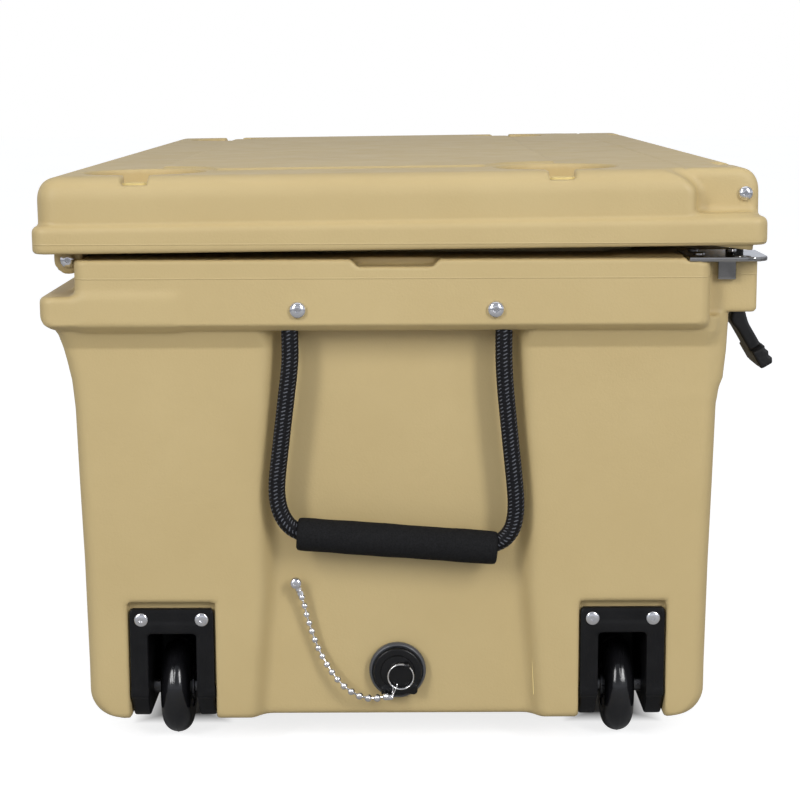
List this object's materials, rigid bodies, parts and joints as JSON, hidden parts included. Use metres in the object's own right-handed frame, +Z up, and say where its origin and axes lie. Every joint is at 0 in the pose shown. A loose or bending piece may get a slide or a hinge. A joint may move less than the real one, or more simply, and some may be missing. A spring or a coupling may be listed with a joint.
{
  "type": "cooler chest",
  "caption": "Wheeled rotomoulded cooler chest with hinged insulated lid, rubber strap latches, rope carry handles and a threaded drain plug on a bead chain.",
  "frame": {"origin": "centre of the chest's footprint box, on the floor", "axes": "+X along the length from the wheel end to the far end, -Y towards the latches, +Z up"},
  "size_m": [0.885, 0.5274, 0.4207],
  "materials": {
    "tan_shell": "rotomoulded polyethylene, fine orange-peel texture",
    "tan_lid": "rotomoulded polyethylene, fine orange-peel texture",
    "foam": "closed-cell polyurethane foam",
    "plug_tan": "smooth plug",
    "gasket_black": "soft matt seal",
    "foot_rubber": "matt rubber",
    "latch_rubber": "satin moulded rubber",
    "bracket_black": "fine-grained moulded nylon",
    "steel_bright": "bright zinc plate",
    "steel_plate": "brushed stainless",
    "drain_grey": "smooth moulded plastic",
    "cap_black": "semi-gloss moulded plastic",
    "rope_black": "braided polypropylene with pale flecks",
    "grip_foam": "closed-cell foam tube",
    "tyre_black": "glossy polyurethane",
    "hub_grey": "moulded nylon",
    "bearing_steel": "ground steel",
    "sleeve_black": "acetal bush"
  },
  "bodies": {
    "chest": {"tub_shell": "tan_shell", "tub_foam": "foam", "foam_plugs": "plug_tan", "rubber_feet": "foot_rubber", "feet_screws": "steel_bright", "wheel_bracket_back": "bracket_black", "wheel_bracket_front": "bracket_black", "bracket_screws": "steel_bright", "axle_bolt_back": "steel_bright", "axle_bolt_front": "steel_bright", "axle_nuts": "steel_bright", "axle_spacers": "steel_bright", "drain_flange": "drain_grey", "drain_gasket": "gasket_black", "drain_tube": "drain_grey", "drain_nut": "drain_grey", "chain_screw": "steel_bright", "drain_chain": "steel_bright", "handle_bolts": "steel_bright", "rope_ends": "rope_black", "lock_plate_wheel_end": "steel_plate", "lock_plate_far_end": "steel_plate", "lock_plate_screws": "steel_bright", "hinge_sleeves": "sleeve_black"},
    "lid": {"lid_shell": "tan_lid", "lid_foam": "foam", "lid_gasket": "gasket_black", "lid_foam_plugs": "plug_tan", "hinge_pin_wheel_end": "steel_bright", "hinge_pin_far_end": "steel_bright", "hinge_pin_nuts": "steel_bright", "latch_pin_wheel_end": "steel_bright", "latch_pin_far_end": "steel_bright", "latch_pin_nuts": "steel_bright"},
    "latch_wheel_end": {"latch_strap_wheel_end": "latch_rubber", "latch_sleeve_wheel_end": "steel_bright"},
    "latch_far_end": {"latch_strap_far_end": "latch_rubber", "latch_sleeve_far_end": "steel_bright"},
    "handle_wheel_end": {"handle_rope_wheel_end": "rope_black", "handle_grip_wheel_end": "grip_foam"},
    "handle_far_end": {"handle_rope_far_end": "rope_black", "handle_grip_far_end": "grip_foam"},
    "wheel_back": {"wheel_tyre_back": "tyre_black", "wheel_hub_back": "hub_grey", "wheel_bearings_back": "bearing_steel"},
    "wheel_front": {"wheel_tyre_front": "tyre_black", "wheel_hub_front": "hub_grey", "wheel_bearings_front": "bearing_steel"},
    "drain_ring": {"ring_swivel": "cap_black", "split_ring": "steel_bright", "chain_link": "steel_bright"},
    "drain_cap": {"drain_cap": "cap_black", "drain_cap_seal": "gasket_black"}
  },
  "joints": [
    {"name": "lid_hinge", "type": "hinge", "parent": "chest", "child": "lid", "pos_m": [0, 0.24416, 0.3555], "axis": [-1, 0, 0], "range_deg": [0, 95]},
    {"name": "latch_wheel_end_swing", "type": "hinge", "parent": "lid", "child": "latch_wheel_end", "pos_m": [-0.3575, -0.22862, 0.40104], "axis": [-1, 0, 0], "range_deg": [0, 95]},
    {"name": "latch_far_end_swing", "type": "hinge", "parent": "lid", "child": "latch_far_end", "pos_m": [0.3575, -0.22862, 0.40104], "axis": [-1, 0, 0], "range_deg": [0, 95]},
    {"name": "handle_wheel_end_lift", "type": "hinge", "parent": "chest", "child": "handle_wheel_end", "pos_m": [-0.4255, 0.01346, 0.302], "axis": [0, 1, 0], "range_deg": [0, 95]},
    {"name": "handle_far_end_lift", "type": "hinge", "parent": "chest", "child": "handle_far_end", "pos_m": [0.4255, 0.01346, 0.302], "axis": [0, -1, 0], "range_deg": [0, 95]},
    {"name": "wheel_back_spin", "type": "hinge", "parent": "chest", "child": "wheel_back", "pos_m": [-0.3775, 0.17697, 0.035], "axis": [0, 1, 0], "continuous": true},
    {"name": "wheel_front_spin", "type": "hinge", "parent": "chest", "child": "wheel_front", "pos_m": [-0.3775, -0.14854, 0.035], "axis": [0, 1, 0], "continuous": true},
    {"name": "drain_cap_out", "type": "slide", "parent": "chest", "child": "drain_ring", "axis": [-1, 0, 0], "range_m": [0, 0.018]},
    {"name": "drain_cap_turn", "type": "hinge", "parent": "drain_ring", "child": "drain_cap", "pos_m": [-0.4145, 0.01396, 0.056], "axis": [-1, 0, 0], "range_deg": [0, 1080]}
  ],
  "couplings": [
    {"joint": "drain_cap_out", "follows": "drain_cap_turn", "m_per_rad": 0.00095493}
  ]
}
